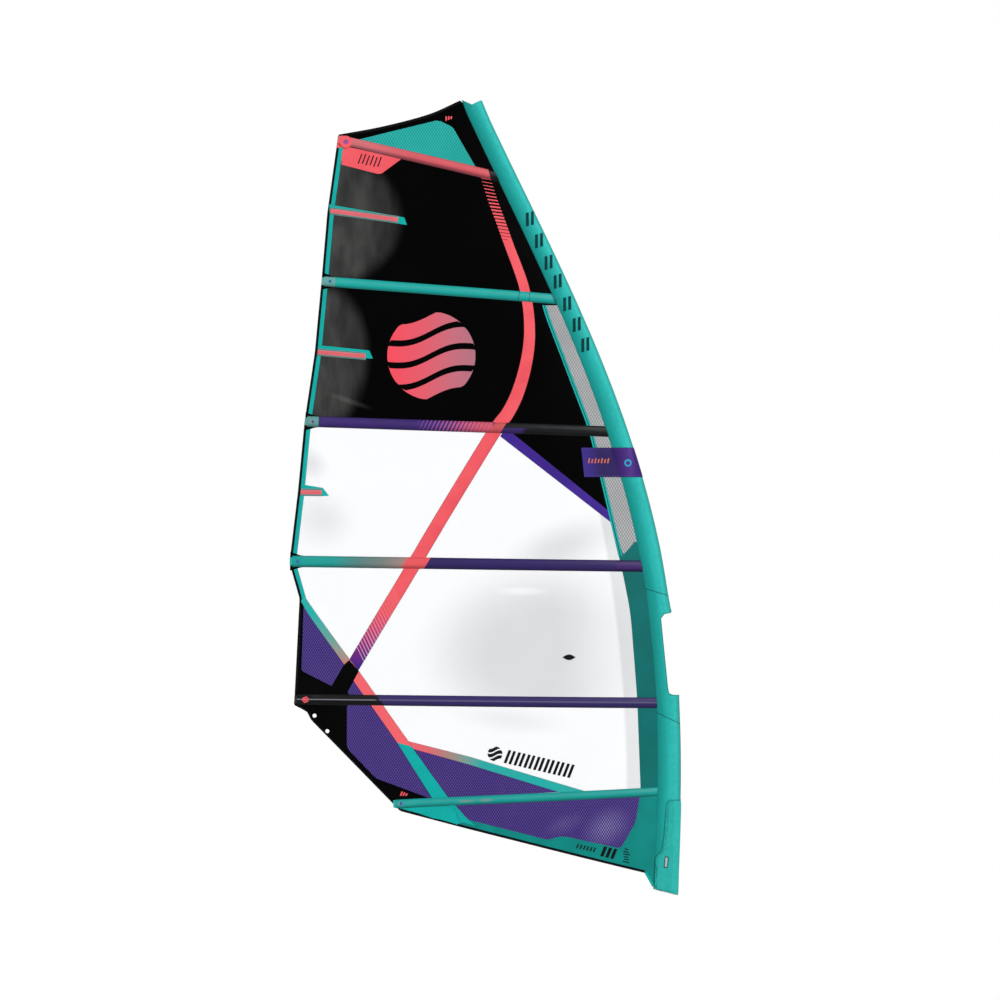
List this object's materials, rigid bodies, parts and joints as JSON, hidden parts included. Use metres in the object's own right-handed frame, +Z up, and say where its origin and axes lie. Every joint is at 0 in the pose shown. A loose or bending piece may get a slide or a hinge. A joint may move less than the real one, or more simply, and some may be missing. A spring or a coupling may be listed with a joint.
{
  "type": "windsurf sail",
  "caption": "Windsurf sail with a mast sleeve, film and scrim panels, screw-tensioned battens in pockets, clew eyelets, a downhaul block and an open boom cut-out.",
  "frame": {"origin": "middle of the mast passage at the sleeve's bottom mouth", "axes": "+Z up along the luff, +X forward so that the leech is towards -X, the sail's belly towards -Y"},
  "size_m": [2.3287, 0.0961, 4.7211],
  "materials": {
    "black_film": "black laminated film, satin",
    "clear_film": "clear film, glossy",
    "teal_scrim": "teal film over a yarn grid",
    "black_laminate": "thick sewn laminate",
    "black_webbing": "woven edge tape and webbing",
    "grey_scrim": "grey film over a yarn grid",
    "coral_tape": "printed film tape",
    "teal_tape": "printed film tape",
    "sleeve_cloth": "coated woven cloth with a soft sheen",
    "purple_cloth": "coated woven cloth",
    "pad_cloth": "padded abrasion cloth",
    "coral_cloth": "coated woven cloth",
    "teal_cloth": "coated woven cloth",
    "batten_composite": "glass-fibre rod",
    "housing_plastic": "moulded nylon",
    "screw_metal": "anodised, coral",
    "eyelet_black": "black anodised",
    "stainless": "satin stainless steel",
    "sheave_plastic": "acetal",
    "cap_plastic": "moulded nylon"
  },
  "bodies": {
    "sail": {"head_panel": "black_film", "panel_upper": "black_film", "panel_lower": "black_film", "window_upper": "clear_film", "window_middle": "clear_film", "window_lower": "clear_film", "foot_panel": "teal_scrim", "clew_patch": "black_laminate", "leech_binding": "black_webbing", "foot_binding": "black_webbing", "head_binding": "black_webbing", "luff_strip": "grey_scrim", "power_band": "coral_tape", "clew_strap": "teal_tape", "foot_strap": "teal_tape", "sleeve_tack": "sleeve_cloth", "sleeve_boom": "sleeve_cloth", "sleeve_lower": "sleeve_cloth", "sleeve_middle": "sleeve_cloth", "sleeve_upper": "sleeve_cloth", "sleeve_head": "sleeve_cloth", "label_band": "purple_cloth", "tack_pad": "pad_cloth", "pocket_1": "coral_cloth", "pocket_2": "teal_cloth", "pocket_3": "purple_cloth", "pocket_4": "purple_cloth", "pocket_5": "purple_cloth", "pocket_6": "teal_cloth", "tensioner_1": "housing_plastic", "tensioner_2": "housing_plastic", "tensioner_3": "housing_plastic", "tensioner_4": "housing_plastic", "tensioner_5": "housing_plastic", "tensioner_6": "housing_plastic", "mini_pockets": "teal_cloth", "mini_battens": "batten_composite", "clew_eyelet_upper": "eyelet_black", "clew_eyelet_lower": "eyelet_black", "tack_block": "stainless", "sheave_axle": "stainless", "tack_webbing": "black_webbing", "head_buckle": "cap_plastic"},
    "batten_1": {"batten_1": "batten_composite"},
    "screw_1": {"screw_1": "screw_metal"},
    "batten_2": {"batten_2": "batten_composite"},
    "screw_2": {"screw_2": "screw_metal"},
    "batten_3": {"batten_3": "batten_composite"},
    "screw_3": {"screw_3": "screw_metal"},
    "batten_4": {"batten_4": "batten_composite"},
    "screw_4": {"screw_4": "screw_metal"},
    "batten_5": {"batten_5": "batten_composite"},
    "screw_5": {"screw_5": "screw_metal"},
    "batten_6": {"batten_6": "batten_composite"},
    "screw_6": {"screw_6": "screw_metal"},
    "sheave_1": {"sheave_1": "sheave_plastic"},
    "sheave_2": {"sheave_2": "sheave_plastic"},
    "sheave_3": {"sheave_3": "sheave_plastic"},
    "tip_cap": {"mast_tip_cap": "cap_plastic", "head_strap": "black_webbing"}
  },
  "joints": [
    {"name": "screw_1_turn", "type": "hinge", "parent": "sail", "child": "screw_1", "pos_m": [-1.97326, 0, 4.48373], "axis": [0.9738, 0, -0.2273], "range_deg": [0, 1440]},
    {"name": "batten_1_slide", "type": "slide", "parent": "sail", "child": "batten_1", "axis": [0.9738, 0, -0.2273], "range_m": [0, 0.012]},
    {"name": "screw_2_turn", "type": "hinge", "parent": "sail", "child": "screw_2", "pos_m": [-2.07003, 0, 3.64323], "axis": [0.9971, 0, -0.0767], "range_deg": [0, 1440]},
    {"name": "batten_2_slide", "type": "slide", "parent": "sail", "child": "batten_2", "axis": [0.9971, 0, -0.0767], "range_m": [0, 0.012]},
    {"name": "screw_3_turn", "type": "hinge", "parent": "sail", "child": "screw_3", "pos_m": [-2.17001, 0, 2.81066], "axis": [0.9994, 0, -0.0335], "range_deg": [0, 1440]},
    {"name": "batten_3_slide", "type": "slide", "parent": "sail", "child": "batten_3", "axis": [0.9994, 0, -0.0335], "range_m": [0, 0.012]},
    {"name": "screw_4_turn", "type": "hinge", "parent": "sail", "child": "screw_4", "pos_m": [-2.26, 0, 1.97986], "axis": [0.9999, 0, -0.0139], "range_deg": [0, 1440]},
    {"name": "batten_4_slide", "type": "slide", "parent": "sail", "child": "batten_4", "axis": [0.9999, 0, -0.0139], "range_m": [0, 0.012]},
    {"name": "screw_5_turn", "type": "hinge", "parent": "sail", "child": "screw_5", "pos_m": [-2.232, 0, 1.1599], "axis": [1, 0, -0.0098], "range_deg": [0, 1440]},
    {"name": "batten_5_slide", "type": "slide", "parent": "sail", "child": "batten_5", "axis": [1, 0, -0.0098], "range_m": [0, 0.012]},
    {"name": "screw_6_turn", "type": "hinge", "parent": "sail", "child": "screw_6", "pos_m": [-1.64501, 0, 0.53847], "axis": [0.9989, 0, 0.0473], "range_deg": [0, 1440]},
    {"name": "batten_6_slide", "type": "slide", "parent": "sail", "child": "batten_6", "axis": [0.9989, 0, 0.0473], "range_m": [0, 0.012]},
    {"name": "sheave_1_spin", "type": "hinge", "parent": "sail", "child": "sheave_1", "pos_m": [-0.06195, 0, 0.092], "axis": [1, 0, 0], "continuous": true},
    {"name": "sheave_2_spin", "type": "hinge", "parent": "sail", "child": "sheave_2", "pos_m": [-0.0501, 0, 0.092], "axis": [1, 0, 0], "continuous": true},
    {"name": "sheave_3_spin", "type": "hinge", "parent": "sail", "child": "sheave_3", "pos_m": [-0.0379, 0, 0.092], "axis": [1, 0, 0], "continuous": true},
    {"name": "tip_cap_slide", "type": "slide", "parent": "sail", "child": "tip_cap", "axis": [-0.4226, 0, 0.9063], "range_m": [-0.03, 0]}
  ],
  "couplings": [
    {"joint": "screw_1_turn", "follows": "batten_1_slide", "rad_per_m": 2094.2},
    {"joint": "screw_2_turn", "follows": "batten_2_slide", "rad_per_m": 2094.2},
    {"joint": "screw_3_turn", "follows": "batten_3_slide", "rad_per_m": 2094.2},
    {"joint": "screw_4_turn", "follows": "batten_4_slide", "rad_per_m": 2094.2},
    {"joint": "screw_5_turn", "follows": "batten_5_slide", "rad_per_m": 2094.2},
    {"joint": "screw_6_turn", "follows": "batten_6_slide", "rad_per_m": 2094.2}
  ]
}
